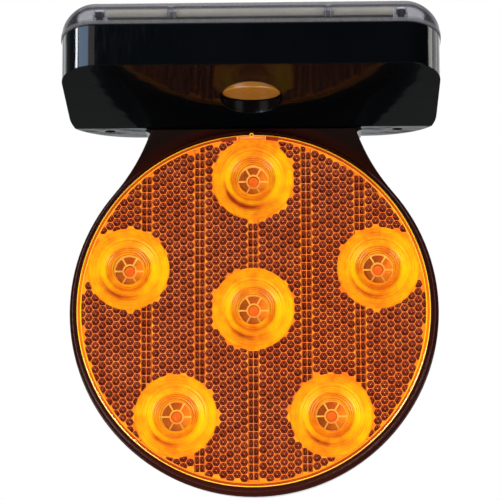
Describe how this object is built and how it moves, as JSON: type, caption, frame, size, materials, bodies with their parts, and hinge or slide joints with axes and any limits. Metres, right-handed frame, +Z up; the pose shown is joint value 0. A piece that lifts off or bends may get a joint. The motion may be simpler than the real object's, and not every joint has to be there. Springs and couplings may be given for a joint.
{
  "type": "barricade warning light",
  "caption": "Solar barricade warning light: round amber lens in a black housing under an overhanging head with a clear-covered solar panel and a push button.",
  "frame": {"origin": "centre of the half-inch mounting nut where it meets the flat back plane of the round housing", "axes": "+Z up along the neck towards the solar head, +Y out of the back towards the barricade, the lens faces -Y, +X to the right seen from the front"},
  "size_m": [0.1858, 0.087, 0.2363],
  "materials": {
    "amber_button": "satin",
    "amber_lens": "glossy transparent amber",
    "beige_plastic": "matte",
    "black_component": "matte moulded",
    "black_housing": "glossy moulded black",
    "black_wire": "insulated",
    "capacitor_can": "sleeved can",
    "cell_sleeve": "shrink sleeve",
    "circuit_board": "green solder mask",
    "clear_cover": "clear glossy",
    "holder_plastic": "glossy",
    "inner_plastic": "matte",
    "led_epoxy": "clear epoxy",
    "nickel_strip": "nickel plated",
    "panel_laminate": "satin laminate",
    "red_wire": "insulated",
    "screw_steel": "passivated",
    "seal_rubber": "matte",
    "silicon": "glossy dark blue",
    "spring_wire": "drawn wire",
    "white_plastic": "glossy white",
    "zinc_steel": "zinc plated"
  },
  "bodies": {
    "housing": {"amber_lens": "amber_lens", "base_screws": "screw_steel", "battery_cell_1": "cell_sleeve", "battery_cell_2": "cell_sleeve", "battery_cell_3": "cell_sleeve", "battery_cell_4": "cell_sleeve", "battery_contacts": "nickel_strip", "battery_lead_black": "black_wire", "battery_lead_red": "red_wire", "battery_tray_left": "inner_plastic", "battery_tray_right": "inner_plastic", "board_capacitors": "capacitor_can", "board_connector": "black_component", "board_screws": "screw_steel", "button_seal": "seal_rubber", "button_spring": "spring_wire", "collar_screws": "screw_steel", "control_board": "circuit_board", "control_chip": "black_component", "cover_gasket": "seal_rubber", "cover_screws": "screw_steel", "front_housing": "black_housing", "head_base": "black_housing", "housing_screws": "screw_steel", "led_1": "led_epoxy", "led_2": "led_epoxy", "led_3": "led_epoxy", "led_4": "led_epoxy", "led_5": "led_epoxy", "led_6": "led_epoxy", "led_holder_1": "holder_plastic", "led_holder_2": "holder_plastic", "led_holder_3": "holder_plastic", "led_holder_4": "holder_plastic", "led_holder_5": "holder_plastic", "led_holder_6": "holder_plastic", "lens_gasket": "seal_rubber", "light_board": "circuit_board", "light_lead_black": "black_wire", "light_lead_red": "red_wire", "mount_nut": "zinc_steel", "neck_gasket": "seal_rubber", "nut_cap": "inner_plastic", "panel_frame": "beige_plastic", "rear_housing": "black_housing", "reflector_plate": "white_plastic", "reflector_screws": "screw_steel", "solar_cells": "silicon", "solar_cover": "clear_cover", "solar_lead_black": "black_wire", "solar_lead_red": "red_wire", "solar_panel": "panel_laminate", "switch_body": "black_component"},
    "button": {"mode_button": "amber_button"},
    "plunger": {"switch_plunger": "black_component"}
  },
  "joints": [
    {"name": "button_press", "type": "slide", "parent": "housing", "child": "button", "axis": [0, 0, 1], "range_m": [0, 0.0015], "stiffness_N_per_m": 600, "springref_m": -0.002, "deforming": ["button_spring"]},
    {"name": "plunger_press", "type": "slide", "parent": "housing", "child": "plunger", "axis": [0, 0, 1], "range_m": [0, 0.0015]}
  ],
  "couplings": [
    {"joint": "plunger_press", "follows": "button_press", "ratio": 1}
  ]
}
